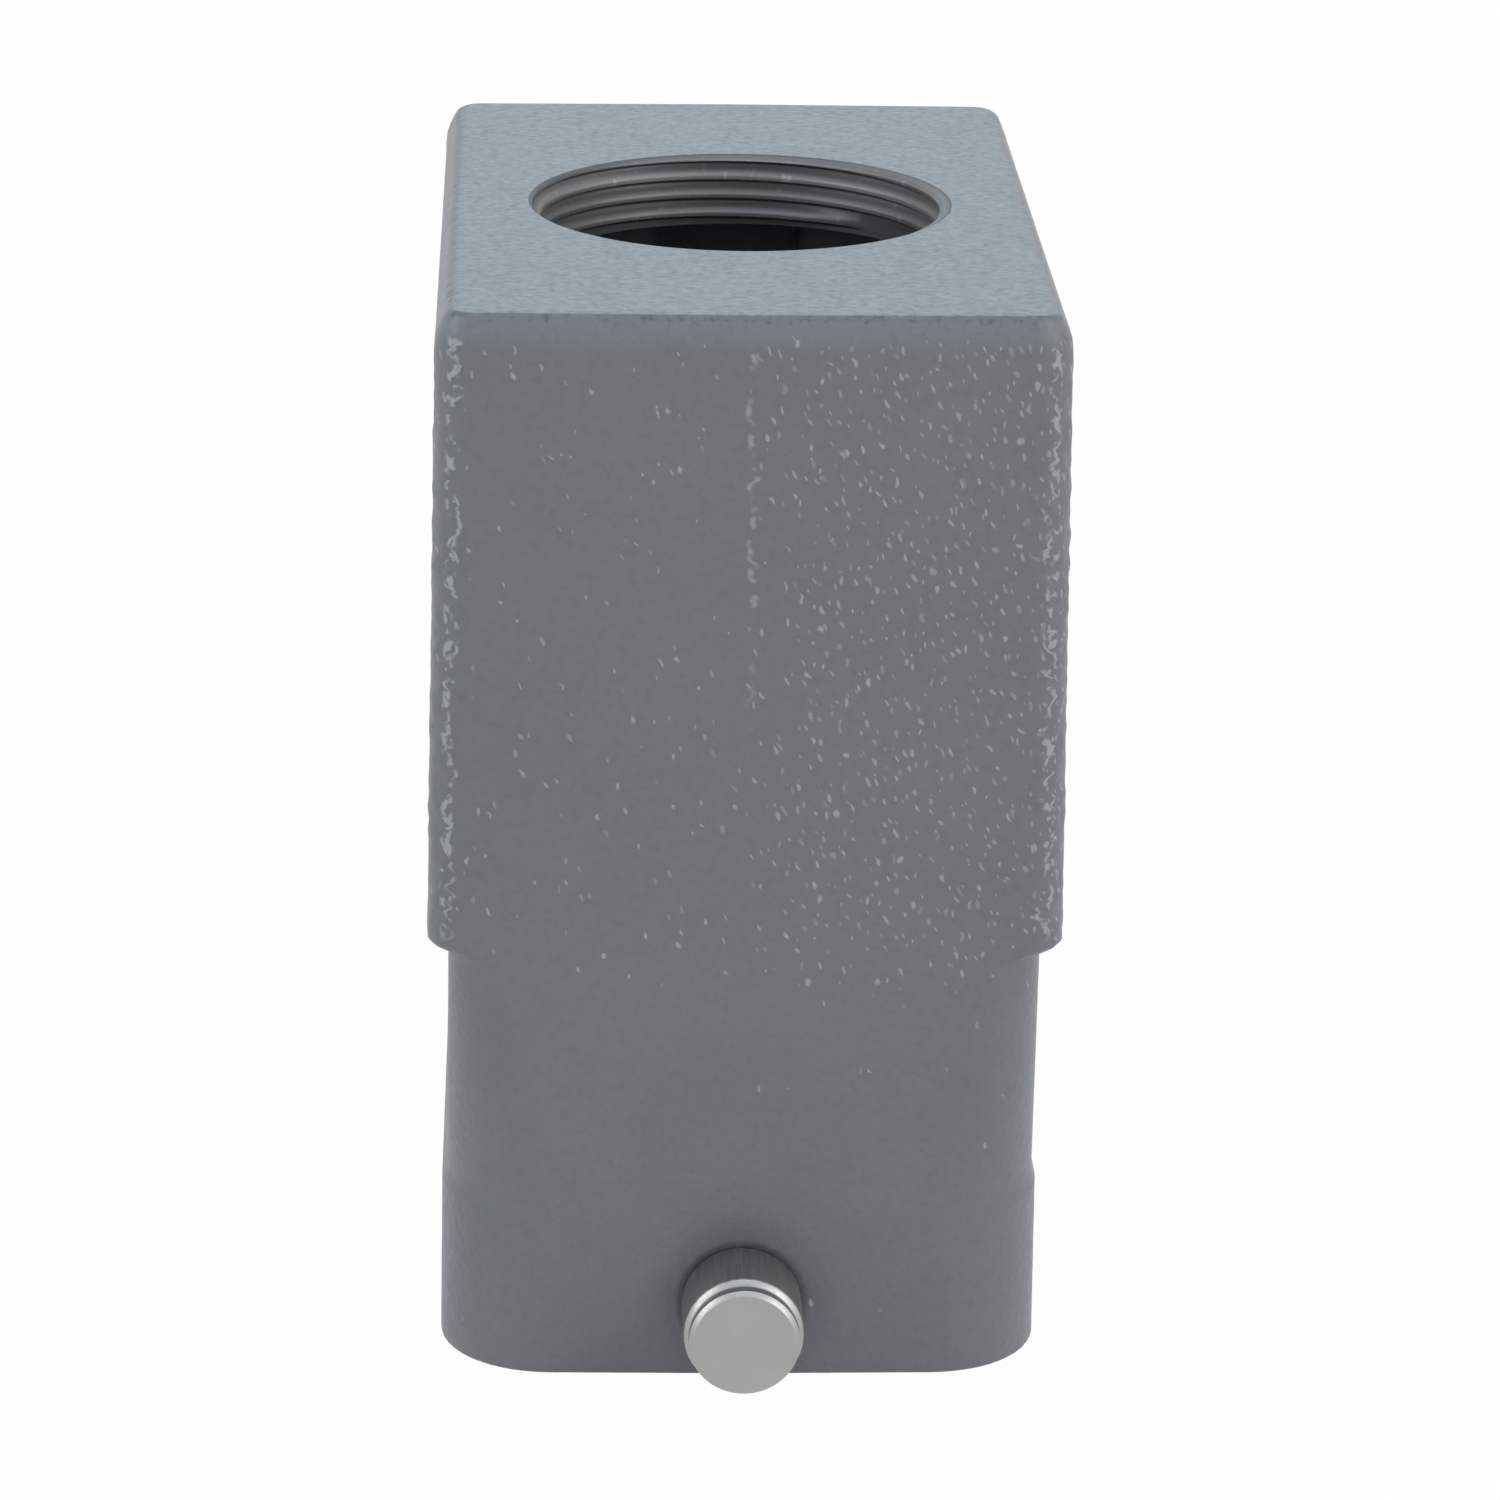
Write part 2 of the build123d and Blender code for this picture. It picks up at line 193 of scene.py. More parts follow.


# Colours of the coat outside and inside, of the bare metal, and of the other pieces' materials.
# Some stand for light and shade: the coat's fleck, edge, top and shadow colours, its dark colour
# around the peg, and the bare metal's root and crest colours.
COAT_COLOR = (0.152, 0.157, 0.167, 1)
COAT_PALE = (0.168, 0.173, 0.184, 1)
COAT_PITS_AND_SHADE = (0.100, 0.106, 0.116, 1)
COAT_SHADOW = (0.050, 0.052, 0.056, 1)
COAT_FLECK_HIGHLIGHT = (0.370, 0.372, 0.375, 1)
COAT_EDGE_LIGHT = (0.178, 0.187, 0.200, 1)
COAT_TOP_SKY_TINT = (0.140, 0.156, 0.175, 1)
INSIDE_COLOR = (0.24, 0.25, 0.265, 1)
INSIDE_PALE = (0.29, 0.30, 0.315, 1)
METAL_ROOT_SHADE = (0.085, 0.085, 0.088, 1)
METAL_CREST_LIGHT = (0.42, 0.415, 0.41, 1)
METAL_MARK = (0.66, 0.655, 0.65, 1)
STEEL_DARK = (0.35, 0.348, 0.328, 1)
STEEL_PALE = (0.41, 0.408, 0.388, 1)
ZINC_DARK = (0.55, 0.57, 0.60, 1)
ZINC_PALE = (0.64, 0.66, 0.68, 1)
SILVER_BRIGHT = (0.70, 0.68, 0.63, 1)
SILVER_TARNISH = (0.50, 0.45, 0.36, 1)
PLASTIC_DARK = (0.30, 0.295, 0.27, 1)
PLASTIC_PALE = (0.36, 0.355, 0.33, 1)

# The peg's axis above the rim, and the painted shadow around it on the coat: a dark line and a soft
# halo of shade
PEG_LEVEL = 6.0
SHADOW_LINE_START = 4.6
SHADOW_LINE_END = 5.2
SHADE_HALO_END = 8.5

# The coat's top grain, the painted light on the rounding below the top's edge, and the painted sky
# reflection on the top: the depths below the top where each starts and is full
TOP_GRAIN = (0.7, 0.3)
LIT_EDGE_BAND = (2.9, 0.9)
SKY_TINT_BAND = (0.5, 0.1)

# Flecks in the coat, painted highlights on small bumps, more of them where the light falls: their
# slant in degrees, their cells' width and height, their radius as a share of a cell from the smallest
# to the largest, and the share of the cells that hold one, between two places across the hood and
# between two levels. The last line is where they end, as depths.
FLECK_SLANT = 20
FLECK_CELL = (0.68, 1.5, 1.0)
FLECK_RADIUS = (0.14, 0.29)
FLECKS_ACROSS = (-1.5, 6.0, 0.14, 0.86)
FLECKS_UPWARD = (29.0, 37.0, 0.02, 1.0)
FLECKS_END = (2.2, 1.2)

# Painted highlights, as thin pale runs beside the upper corners and beads along the seam, where
# light catches the lumpy coat: the middle, half width and soft edge of their lines, past the corner
# or from the seam, the levels between which they come in, and the depths where they end
HIGHLIGHT_RUN_LINE = (-1.0, 0.07, 0.16)
HIGHLIGHT_BEAD_LINE = (-0.8, 0.25, 0.40)
SEAM_HIGHLIGHT_LINE = (0.0, 0.05, 0.28)
HIGHLIGHT_RUNS_START = (LEDGE, LEDGE + 2.0)
HIGHLIGHT_RUNS_END = (1.4, 2.2)
SEAM_HIGHLIGHT_START = (46.0, 66.0)
SEAM_HIGHLIGHT_END = (1.8, 2.6)


def near_top(shade, z, depths, low=0.0, high=1.0):
    """Runs from low to high between two depths below the hood's top."""
    start, end = depths
    return shade.ramp(z, HEIGHT - start, HEIGHT - end, low, high)


def fleck_highlights(shade, x, z):
    """Painted highlights on small oval bumps, slanting left, more to the right and higher up."""
    around = shade.add("ShaderNodeUVMap", uv_map=AROUND_MAP).outputs["UV"]
    wander = shade.add("ShaderNodeTexNoise", {"Vector": around, "Scale": 0.8, "Detail": 1.0})
    push = shade.scaled(wander.outputs["Color"], (0.9, 0.9, 0.0))
    moved = shade.add("ShaderNodeVectorMath", operation="ADD")
    shade.put(moved.inputs[0], around)
    shade.put(moved.inputs[1], push)
    cell = shade.add("ShaderNodeMapping", {"Vector": moved.outputs["Vector"]}, vector_type="TEXTURE")
    cell.inputs["Rotation"].default_value = (0, 0, radians(FLECK_SLANT))
    cell.inputs["Scale"].default_value = FLECK_CELL
    distance, chance, size, strength = shade.cells(cell.outputs["Vector"], 1.0, "2D")
    to_right = shade.ramp(x, *FLECKS_ACROSS)
    upward = shade.ramp(z, *FLECKS_UPWARD)
    below_top = near_top(shade, z, FLECKS_END, 1.0, 0.0)
    present = shade.math("LESS_THAN", chance, shade.product(to_right, upward, below_top))
    radius = shade.ramp(size, 0.0, 1.0, *FLECK_RADIUS)
    dome = shade.ramp(shade.math("DIVIDE", distance, radius), 1.0, 0.35)
    return shade.product(dome, present, shade.ramp(strength, 0.0, 1.0, 0.4, 1.0))


def run_highlights(shade, x, z):
    """Painted highlights: crooked thin runs beside the upper corners, and a chain along the seam."""
    upper = shade.product(shade.ramp(z, *HIGHLIGHT_RUNS_START), near_top(shade, z, HIGHLIGHT_RUNS_END))
    edge = shade.attribute(EDGE_MARK)
    lumpy = shade.noise(shade.scaled(shade.place, (0.5, 0.5, 0.9)), 1.0, 2.0)
    wide = shade.noise(shade.scaled(shade.place, (0.2, 0.2, 0.75)), 1.0, 2.0)
    crooked = shade.math("ADD", edge, shade.ramp(wide, 0.25, 0.75, -0.7, 0.7))
    run = shade.product(shade.line(crooked, *HIGHLIGHT_RUN_LINE), shade.ramp(lumpy, 0.42, 0.58), upper)
    spots = shade.noise(shade.place, 1.25, 1.0)
    beads = shade.product(shade.line(edge, *HIGHLIGHT_BEAD_LINE), shade.ramp(spots, 0.56, 0.64), upper)
    wander = shade.math("ADD", x, shade.ramp(wide, 0.25, 0.75, -0.45, 0.45))
    seam = shade.product(
        shade.line(wander, *SEAM_HIGHLIGHT_LINE),
        shade.ramp(lumpy, 0.45, 0.60),
        shade.ramp(z, *SEAM_HIGHLIGHT_START),
        near_top(shade, z, SEAM_HIGHLIGHT_END),
    )
    return shade.math("MAXIMUM", shade.math("MAXIMUM", run, beads), shade.product(seam, 0.75))


def coat_material():
    """Grey powder coat: orange peel all over, and pale flecks and runs on the upper part, painted as
    highlights, with painted light and a sky reflection near the top, and a painted shadow at the peg.
    """
    shade = Shade("powder_coat")
    x, _, z = shade.axes(shade.place)
    peel = shade.noise(shade.place, 1.5, 3.0)
    grain = shade.noise(shade.place, 4.5, 2.0)
    mottle = shade.noise(shade.place, 1.7, 2.5)
    cloud = shade.noise(shade.place, 0.12, 2.0)
    on_top = near_top(shade, z, TOP_GRAIN, 0.22, 0.95)
    pits = shade.product(shade.ramp(mottle, 0.50, 0.30), on_top)
    spots = shade.product(shade.ramp(mottle, 0.52, 0.70), on_top)
    # Painted highlights: pale flecks, each also a small bump
    fleck_highlight = fleck_highlights(shade, x, z)
    # Painted highlights: pale runs beside the upper corners and a chain along the seam, also raised a
    # little by bump
    run = run_highlights(shade, x, z)
    bumps_and_highlights = shade.math("MAXIMUM", fleck_highlight, run)
    normal = shade.bump(grain, 0.010)
    normal = shade.bump(peel, 0.070, normal)
    normal = shade.bump(bumps_and_highlights, 0.030, normal)
    color = shade.mix(shade.ramp(cloud, 0.3, 0.7, 0.0, 0.5), COAT_COLOR, COAT_PALE)
    # Painted light: paler and bluer towards the top's edge, where the top lamp falls on the rounding
    color = shade.mix(near_top(shade, z, LIT_EDGE_BAND), color, COAT_EDGE_LIGHT)
    # Painted reflection: the top is tinted bluish, for the bluish light that it reflects
    color = shade.mix(near_top(shade, z, SKY_TINT_BAND), color, COAT_TOP_SKY_TINT)
    # Painted shadow around the peg's root: a soft halo of shade, and a dark line next to the sleeve
    above_peg = shade.math("SUBTRACT", z, PEG_LEVEL)
    squares = shade.math("ADD", shade.product(x, x), shade.product(above_peg, above_peg))
    from_peg = shade.math("SQRT", squares)
    color = shade.mix(shade.ramp(from_peg, SHADOW_LINE_START, SHADE_HALO_END, 0.5, 0.0), color, COAT_PITS_AND_SHADE)
    color = shade.mix(shade.ramp(from_peg, SHADOW_LINE_START, SHADOW_LINE_END, 0.85, 0.0), color, COAT_SHADOW)
    color = shade.mix(pits, color, COAT_PITS_AND_SHADE)
    color = shade.mix(spots, color, COAT_PALE)
    # Painted highlights: the flecks and runs in a pale colour
    color = shade.mix(shade.math("MULTIPLY", bumps_and_highlights, 0.8), color, COAT_FLECK_HIGHLIGHT)
    roughness = shade.ramp(peel, 0.2, 0.8, 0.36, 0.48)
    return shade.finish(Base_Color=color, Roughness=roughness, Normal=normal)


def inside_material():
    """The coat inside the hood: thinner, paler and plain."""
    shade = Shade("inside_coat")
    peel = shade.noise(shade.place, 1.3, 3.0)
    color = shade.mix(shade.noise(shade.place, 0.2, 3.0), INSIDE_COLOR, INSIDE_PALE)
    normal = shade.bump(peel, 0.03)
    return shade.finish(Base_Color=color, Roughness=0.55, Normal=normal)


def machined_material():
    """Bare machined aluminium with tool marks, painted shade in the roots and light on the crests."""
    shade = Shade("machined_aluminium")
    painted_light = shade.attribute(PAINTED_LIGHT_MARK)
    rings = shade.noise(shade.scaled(shade.place, (0.05, 0.05, 7.0)), 1.0, 3.0)
    marks = shade.noise(shade.scaled(shade.place, (1.4, 1.4, 0.4)), 1.0, 4.0)
    marks = shade.math("MULTIPLY", shade.ramp(marks, 0.58, 0.74), 0.5)
    # Painted shade in the roots and painted light on the crests
    color = shade.mix(painted_light, METAL_ROOT_SHADE, METAL_CREST_LIGHT)
    color = shade.mix(shade.math("MULTIPLY", marks, painted_light), color, METAL_MARK)
    normal = shade.bump(rings, 0.012)
    roughness = shade.ramp(rings, 0.2, 0.8, 0.50, 0.66)
    return shade.finish(Base_Color=color, Metallic=1.0, Roughness=roughness, Normal=normal)


def turned_steel_material():
    """Turned stainless steel: fine lines along the peg's axis, and a clouded grey."""
    shade = Shade("turned_steel")
    lines = shade.noise(shade.scaled(shade.place, (7.0, 0.25, 7.0)), 1.0, 3.0)
    cloud = shade.noise(shade.place, 0.35, 3.0)
    color = shade.mix(cloud, STEEL_DARK, STEEL_PALE)
    normal = shade.bump(lines, 0.003)
    roughness = shade.ramp(lines, 0.25, 0.75, 0.36, 0.46)
    return shade.finish(Base_Color=color, Metallic=1.0, Roughness=roughness, Normal=normal)


def plated_steel_material():
    """Zinc-plated steel: bright, faintly bluish, with a fine crystalline grain."""
    shade = Shade("zinc_plating")
    _, chance, size, _ = shade.cells(shade.place, 2.4)
    grain = shade.noise(shade.place, 6.0, 2.0)
    color = shade.mix(chance, ZINC_DARK, ZINC_PALE)
    roughness = shade.ramp(size, 0.0, 1.0, 0.24, 0.38)
    normal = shade.bump(grain, 0.006)
    return shade.finish(Base_Color=color, Metallic=1.0, Roughness=roughness, Normal=normal)


def silver_material():
    """Silver plating, a little tarnished in patches."""
    shade = Shade("silver_plating")
    patches = shade.noise(shade.place, 0.5, 4.0)
    fine = shade.noise(shade.scaled(shade.place, (5.0, 5.0, 0.6)), 1.0, 2.0)
    color = shade.mix(shade.ramp(patches, 0.45, 0.7), SILVER_BRIGHT, SILVER_TARNISH)
    roughness = shade.ramp(patches, 0.3, 0.7, 0.20, 0.36)
    normal = shade.bump(fine, 0.005)
    return shade.finish(Base_Color=color, Metallic=1.0, Roughness=roughness, Normal=normal)


def plastic_material():
    """Moulded polycarbonate with glass fibre: pale grey, fine sparked texture, faint flow."""
    shade = Shade("moulded_plastic")
    spark = shade.noise(shade.place, 5.5, 3.0)
    flow = shade.noise(shade.scaled(shade.place, (0.25, 0.06, 0.4)), 1.0, 3.0)
    color = shade.mix(flow, PLASTIC_DARK, PLASTIC_PALE)
    roughness = shade.ramp(spark, 0.3, 0.7, 0.42, 0.58)
    normal = shade.bump(spark, 0.012)
    return shade.finish(Base_Color=color, Roughness=roughness, Normal=normal)


# The casting takes the inside's coat, because the outer one is a piece of its own
coat = coat_material()
machined = machined_material()
SLOT_MATERIALS = {
    "powder_coated_casting": inside_material(),
    "stainless_steel": turned_steel_material(),
    "zinc_plated_steel": plated_steel_material(),
    "silver_plated_contact": silver_material(),
    "moulded_plastic": plastic_material(),
}

# Edges of the pegs and rollers are broken by this width, where they are sharper than an angle in
# degrees. Points closer than WELD_REACH are joined first.
BROKEN_EDGE = 0.14
SHARP_ANGLE = 28
WELD_REACH = 0.002


def break_edges(node):
    """Rounds a turned piece's sharp edges a little."""
    weld = node.modifiers.new("weld", "WELD")
    weld.merge_threshold = WELD_REACH * MM
    bevel = node.modifiers.new("broken_edges", "BEVEL")
    bevel.width = BROKEN_EDGE * MM
    bevel.segments = 3
    bevel.limit_method = "ANGLE"
    bevel.angle_limit = radians(SHARP_ANGLE)
    bevel.harden_normals = True


def dress_nodes():
    """Each CAD node takes the material of its slot in the record."""
    for subpart in frame["record"]["subparts"]:
        node = frame["nodes"][subpart["node"]]
        node.data.materials.clear()
        node.data.materials.append(SLOT_MATERIALS[subpart["material_slot"]])
        if subpart["material_slot"] == "stainless_steel":
            break_edges(node)


dress_nodes()


# Meshes


def add_piece(name, points, faces, material):
    """A smooth-shaded mesh, given in millimetres, that rides with the hood."""
    mesh = bpy.data.meshes.new(name)
    mesh.from_pydata((np.asarray(points) * MM).tolist(), [], faces)
    mesh.polygons.foreach_set("use_smooth", [True] * len(mesh.polygons))
    mesh.materials.append(material)
    piece = bpy.data.objects.new(name, mesh)
    scene.collection.objects.link(piece)
    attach(piece, BODY)
    return piece


def band_faces(rows, columns, closed_rows=False):
    """Quads between rings of points: each row is a closed ring of that many columns."""
    faces = []
    for row in range(rows if closed_rows else rows - 1):
        first = row * columns
        second = (row + 1) % rows * columns
        for column in range(columns):
            beside = (column + 1) % columns
            faces.append((first + column, first + beside, second + beside, second + column))
    return faces


# The hood's sections from the rim up: level, width and corner radius, as the casting has them
HOOD_SECTIONS = [
    (0.4, 45.3, 8.4),
    (13.0, 45.1, 8.4),
    (13.7, 44.5, 8.4),
    (33.0, 44.0, 4.0),
    (33.8, 46.3, 2.8),
    (34.2, 47.1, 2.8),
    (79.6, 45.9, 2.8),
]

# Its length at the rim, how much shorter an end is at the top, how far the parting line stands out
# at an end's middle, and the roundings of the rim, the top and the entry
RIM_LENGTH = 73.0
END_DRAFT = 0.2
PARTING_RISE = 0.3
RIM_ROUND = 0.4
TOP_ROUND = 2.6
ENTRY_RADIUS = 16.0
ENTRY_CHAMFER = 0.3

# The coat's least thickness, and the steps of its mesh: up the hood below and above the ledge,
# along half an end at the front, along the seam and elsewhere, and in the roundings and the top
COAT_LIFT = 0.03
LOWER_STEP = 0.85
LEVEL_STEP = 0.38
FRONT_STEP = 0.42
SEAM_STEP = 0.14
SEAM_REACH = 1.4
REST_STEP = 1.1
HALF_END = 22.0
ARC_STEPS = 13
ROUND_STEPS = 6
SLOPE_STEPS = 2
TOP_STEPS = 22

# The coat over the top's rounding follows the casting up to a slope in degrees, and then runs
# straight to an edge of its own radius. The front comes out by this share of the rounding's inset.
TOP_SLOPE = 25
TOP_EDGE = 1.1
FRONT_GAIN = 0.55

# The coat's ends: at the rim it goes TUCK_INSET past the rounding and TUCK_LEVEL into the underside,
# and at the entry its lip turns down into the countersink
TUCK_LEVEL = 0.12
TUCK_INSET = 0.25
NEAR_ENTRY = 0.99
LIP_SHARE = 0.997
LIP_DEPTH = 0.12

# Lumps: the heights and sizes of the swell all over, of those near the corners and of the seam's,
# and how far they reach. A FILL is added to the noise, and what is then below 0 is cut off. Below
# the ledge the corners keep LOWER_SHARE of their lumps.
SWELL = 0.030
SWELL_SIZE = 1.9
EDGE_LUMP = 0.17
EDGE_LUMP_SIZE = 1.2
EDGE_REACH = 4.0
EDGE_FILL = 0.15
LOWER_SHARE = 0.15
LEDGE_FADE = 3.0
FAR_FROM_EDGES = 36.0
SEAM_LUMP = 0.12
SEAM_LUMP_SIZE = 1.1
SEAM_FILL = 0.35
SEAM_WIDTH = 0.26
SEAM_LOW = 52.0
SEAM_HIGH = 78.6
SEAM_FADE_LOW = 6.0
SEAM_FADE_HIGH = 2.0


def half_length_at(level):
    """From the hood's middle to the parting line of an end."""
    return RIM_LENGTH / 2 - END_DRAFT * level / HEIGHT


def steps_along(length, step, fine=0.0):
    """Shares of a straight run from 0, without 1, and closer together over its last fine part."""
    coarse = np.linspace(0, 1 - fine / length, max(2, ceil((length - fine) / step)) + 1)
    if fine:
        close = np.linspace(1 - fine / length, 1, ceil(fine / SEAM_STEP) + 1)
        return np.concatenate([coarse[:-1], close[:-1]])
    return coarse[:-1]


def quarter(half_width, half_length, corner, side_shares, end_shares):
    """A quarter section, from the middle of the +X side to the parting line of the +Y end.

    Returns its points, their normals, and how far each is from the corner, less than 0 on the end.
    """
    side_end = half_length - PARTING_RISE
    lean = atan2(PARTING_RISE, half_width)
    centre = np.array((half_width - corner, side_end - corner * (1 - sin(lean)) / cos(lean)))
    angles = np.linspace(0, pi / 2 - lean, ARC_STEPS + 1)
    arc_normals = np.stack([np.cos(angles), np.sin(angles)], 1)
    arc = centre + corner * arc_normals
    side = np.outer(1 - side_shares, (half_width, 0)) + np.outer(side_shares, arc[0])
    ridge = np.array((0, half_length))
    end = np.outer(1 - end_shares, arc[-1]) + np.outer(end_shares, ridge)
    points = np.concatenate([side, arc[:-1], end, [ridge]])
    normals = np.concatenate([
        np.tile(arc_normals[0], (len(side), 1)),
        arc_normals[:-1],
        np.tile(arc_normals[-1], (len(end), 1)),
        [(0, 1)],
    ])
    away = np.linalg.norm(points - arc[ARC_STEPS // 2], axis=1)
    on_end = np.arange(len(points)) > len(side) + ARC_STEPS // 2
    return points, normals, np.where(on_end, -away, away)


def ring(half_width, half_length, corner, front_gain):
    """One closed section: the rear half, and then the front half, finer and longer by front_gain."""
    side = steps_along(RIM_LENGTH / 2, REST_STEP)
    rear = quarter(half_width, half_length, corner, side, steps_along(HALF_END, REST_STEP))
    fine = steps_along(HALF_END, FRONT_STEP, SEAM_REACH)
    front = quarter(half_width, half_length + front_gain, corner, side, fine)
    points, normals, past = [], [], []
    for (part, part_normals, part_past), x_sign, y_sign in (
        (rear, 1, 1), (rear, -1, 1), (front, -1, -1), (front, 1, -1),
    ):
        keep = slice(0, -1) if x_sign == y_sign else slice(None, 0, -1)
        points.append(part[keep] * (x_sign, y_sign))
        normals.append(part_normals[keep] * (x_sign, y_sign))
        past.append(part_past[keep])
    return np.concatenate(points), np.concatenate(normals), np.concatenate(past)


def lump_height(point, past_corner):
    """How far the coat stands out at a point: a soft swell, and lumps at corners and seam."""
    place = Vector(point)
    height = SWELL * (0.5 + 0.5 * noise.noise(place / SWELL_SIZE))
    across, along, level = point
    upper = min(1.0, max(0.0, (level - LEDGE) / LEDGE_FADE))
    nearness = np.exp(-(past_corner / EDGE_REACH) ** 2)
    rough = max(0.0, noise.noise(place / EDGE_LUMP_SIZE) + EDGE_FILL)
    height += EDGE_LUMP * rough * nearness * (LOWER_SHARE + (1 - LOWER_SHARE) * upper)
    if SEAM_LOW < level < SEAM_HIGH and abs(across) < SEAM_REACH:
        fade = min(1.0, (SEAM_HIGH - level) / SEAM_FADE_HIGH, (level - SEAM_LOW) / SEAM_FADE_LOW)
        beads = max(0.0, SEAM_FILL + noise.noise(Vector((0.0, along, level / SEAM_LUMP_SIZE))))
        height += SEAM_LUMP * beads * fade * np.exp(-(across / SEAM_WIDTH) ** 2)
    return height


def top_profile():
    """The coat over the top's rounding, thicker towards its edge: inset, level and upward tilt."""
    profile = []
    for step in range(SLOPE_STEPS + 1):
        turn = radians(TOP_SLOPE * step / SLOPE_STEPS)
        profile.append((TOP_ROUND * (1 - cos(turn)), HEIGHT - TOP_ROUND * (1 - sin(turn)), sin(turn)))
    slope = radians(TOP_SLOPE)
    inset, level, _ = profile[-1]
    edge_start = HEIGHT - TOP_EDGE * (1 - sin(slope))
    inset += (edge_start - level) * tan(slope)
    for step in range(ROUND_STEPS + 1):
        turn = slope + (pi / 2 - slope) * step / ROUND_STEPS
        across = TOP_EDGE * (cos(slope) - cos(turn))
        profile.append((inset + across, HEIGHT - TOP_EDGE * (1 - sin(turn)), sin(turn)))
    return profile


def hood_rings():
    """The coat's rings from rim to top: level, half width, corner, inset and upward tilt."""
    _, rim_width, rim_corner = HOOD_SECTIONS[0]
    rings = [(TUCK_LEVEL, rim_width / 2, rim_corner, RIM_ROUND + TUCK_INSET, 0.0)]
    for step in range(ROUND_STEPS):
        turn = radians(90 * step / ROUND_STEPS)
        level = RIM_ROUND * (1 - cos(turn))
        inset = RIM_ROUND * (1 - sin(turn))
        rings.append((level, rim_width / 2, rim_corner, inset, 0.0))
    for start, end in zip(HOOD_SECTIONS, HOOD_SECTIONS[1:]):
        low, high = start[0], end[0]
        count = max(1, ceil((high - low) / (LEVEL_STEP if low > LEDGE else LOWER_STEP)))
        for share in np.arange(count) / count:
            level, width, corner = (first + (last - first) * share for first, last in zip(start, end))
            rings.append((level, width / 2, corner, 0.0, 0.0))
    _, top_width, top_corner = HOOD_SECTIONS[-1]
    for inset, level, tilt in top_profile():
        rings.append((level, top_width / 2, top_corner, inset, tilt))
    return rings


def lengths_around(flat):
    """Each column's place along a closed ring, from the front ridge, with one more to close it."""
    closed = np.concatenate([flat, flat[:1]])
    along = np.concatenate([[0.0], np.cumsum(np.linalg.norm(np.diff(closed, axis=0), axis=1))])
    front = np.argmin(flat[:, 1])
    return along - along[front]


def mark_points(mesh, name, values):
    """Stores one value for each of the mesh's points."""
    mark = mesh.attributes.new(name, "FLOAT", "POINT")
    mark.data.foreach_set("value", np.asarray(values, dtype=np.float32).ravel())


def build_coat():
    """The powder coat: a skin over the casting, from inside the rim up to the entry's edge."""
    rows, around, heights, edges = [], [], [], []
    for row, (level, half_width, corner, inset, tilt) in enumerate(hood_rings()):
        half_length = half_length_at(level) - inset
        front_gain = inset * FRONT_GAIN if level > HEIGHT / 2 else 0.0
        flat, normals, past = ring(half_width - inset, half_length, corner - inset, front_gain)
        points = np.column_stack([flat, np.full(len(flat), level)])
        outward = np.column_stack([normals * sqrt(1 - tilt * tilt), np.full(len(flat), tilt)])
        lifts = np.zeros(len(points))
        if row > 0:
            lumps = [lump_height(point, away) for point, away in zip(points, past)]
            lifts = COAT_LIFT + (1 - tilt) * np.array(lumps)
        rows.append(points + outward * lifts[:, None])
        around.append(lengths_around(flat))
        heights.append(level)
        edges.append(past)
        last_flat = flat
    angles = np.arctan2(last_flat[:, 1], last_flat[:, 0])
    edge = (ENTRY_RADIUS + ENTRY_CHAMFER) * np.stack([np.cos(angles), np.sin(angles)], 1)
    for share in (*np.arange(1, TOP_STEPS) / TOP_STEPS, NEAR_ENTRY, 1.0):
        flat = last_flat * (1 - share) + edge * share
        rows.append(np.column_stack([flat, np.full(len(flat), HEIGHT + COAT_LIFT)]))
    rows.append(np.column_stack([edge * LIP_SHARE, np.full(len(edge), HEIGHT - LIP_DEPTH)]))
    for extra in range(len(rows) - len(around)):
        around.append(around[-1])
        heights.append(HEIGHT + extra)
        edges.append(np.full(len(edge), FAR_FROM_EDGES))
    faces = band_faces(len(rows), len(rows[0]))
    piece = add_piece("hood_coat", np.concatenate(rows), faces, coat)
    mark_points(piece.data, EDGE_MARK, edges)
    across = np.array(around)
    up = np.repeat(np.array(heights, dtype=float)[:, None], across.shape[1], axis=1)
    corners = [
        np.stack([grid[:-1, :-1], grid[:-1, 1:], grid[1:, 1:], grid[1:, :-1]], -1)
        for grid in (across, up)
    ]
    around_map = piece.data.uv_layers.new(name=AROUND_MAP)
    around_map.data.foreach_set("uv", np.stack(corners, -1).astype(np.float32).ravel())


build_coat()

# Entry thread, M32 x 1.5: its ridges' pitch and depth, and the foot and the crest of their upper
# and lower flanks, as shares of the pitch
THREAD_PITCH = 1.5
THREAD_DEPTH = 0.62
THREAD_UPPER = (0.96, 0.34)
THREAD_LOWER = (0.02, 0.18)

# The sleeve's lower end, the level that its turns are counted from, where the lowest turn comes in
# and over how much of a turn, and the mesh's steps. The sleeve stands SLEEVE_LIFT off the bore, and
# its hidden back lies SLEEVE_BACK outward and SLEEVE_DEPTH below the top.
THREAD_BOTTOM = HEIGHT - 5.6
THREAD_START = HEIGHT - 5.475
THREAD_FIRST = 0.14
THREAD_FADE = 0.05
THREAD_STEPS_ROUND = 240
THREAD_STEPS_UP = 110
SLEEVE_LIFT = 0.02
SLEEVE_BACK = 0.06
SLEEVE_DEPTH = 0.1

